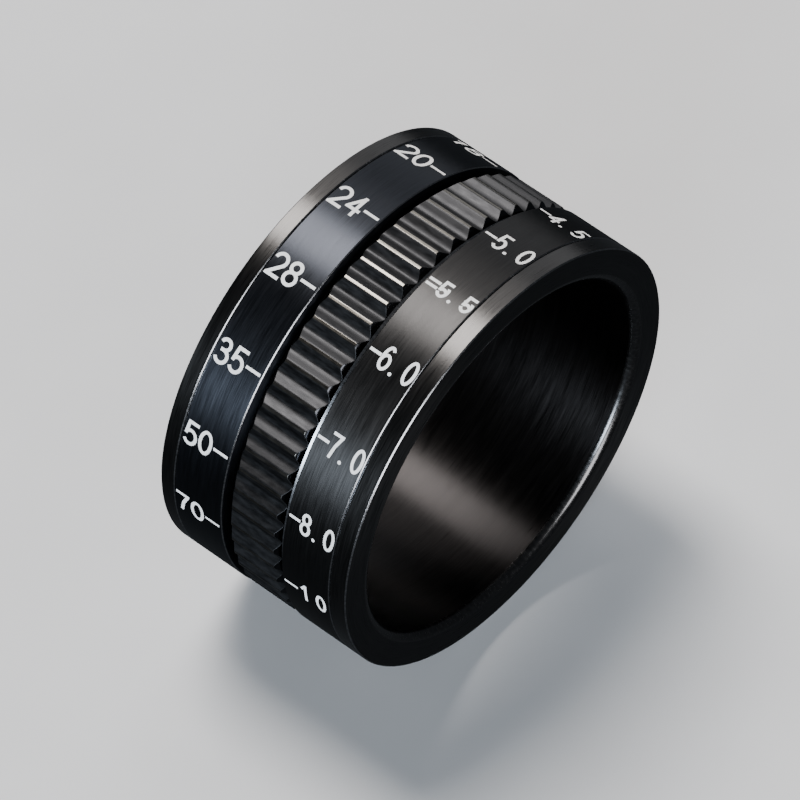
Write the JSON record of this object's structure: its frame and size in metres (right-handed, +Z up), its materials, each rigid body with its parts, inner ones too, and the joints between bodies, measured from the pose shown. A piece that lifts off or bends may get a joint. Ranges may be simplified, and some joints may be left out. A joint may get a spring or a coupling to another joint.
{
  "type": "spinner ring with numbered bands",
  "caption": "Finger ring in black steel with two turnable numbered bands either side of a turnable knurled band, styled after the control rings of a camera lens.",
  "frame": {"origin": "middle of the finger bore, on the ring's axis, halfway along its width", "axes": "+Y along the ring's axis towards the end collar, -Y towards the sleeve's own rim; +Z up, with the ring resting on its circumference; numerals read towards -Y"},
  "size_m": [0.024, 0.012, 0.024],
  "materials": {
    "black_steel_body": "black-plated stainless steel, satin, brushed around the ring",
    "black_steel_bands": "black-plated stainless steel, satin, brushed around the ring",
    "gunmetal_knurling": "black-plated stainless steel, polished ribs",
    "laser_marks": "matt laser-cut steel, light grey"
  },
  "bodies": {
    "core": {"core_sleeve": "black_steel_body", "end_collar": "black_steel_body"},
    "left_band": {"left_scale_band": "black_steel_bands", "left_scale_numerals": "laser_marks", "left_scale_ticks": "laser_marks"},
    "centre_band": {"knurled_band": "gunmetal_knurling"},
    "right_band": {"right_scale_band": "black_steel_bands", "right_scale_numerals": "laser_marks", "right_scale_ticks": "laser_marks"}
  },
  "joints": [
    {"name": "left_band_spin", "type": "hinge", "parent": "core", "child": "left_band", "pos_m": [0, 0, 0], "axis": [0, 1, 0], "continuous": true},
    {"name": "centre_band_spin", "type": "hinge", "parent": "core", "child": "centre_band", "pos_m": [0, 0, 0], "axis": [0, 1, 0], "continuous": true},
    {"name": "right_band_spin", "type": "hinge", "parent": "core", "child": "right_band", "pos_m": [0, 0, 0], "axis": [0, 1, 0], "continuous": true}
  ]
}
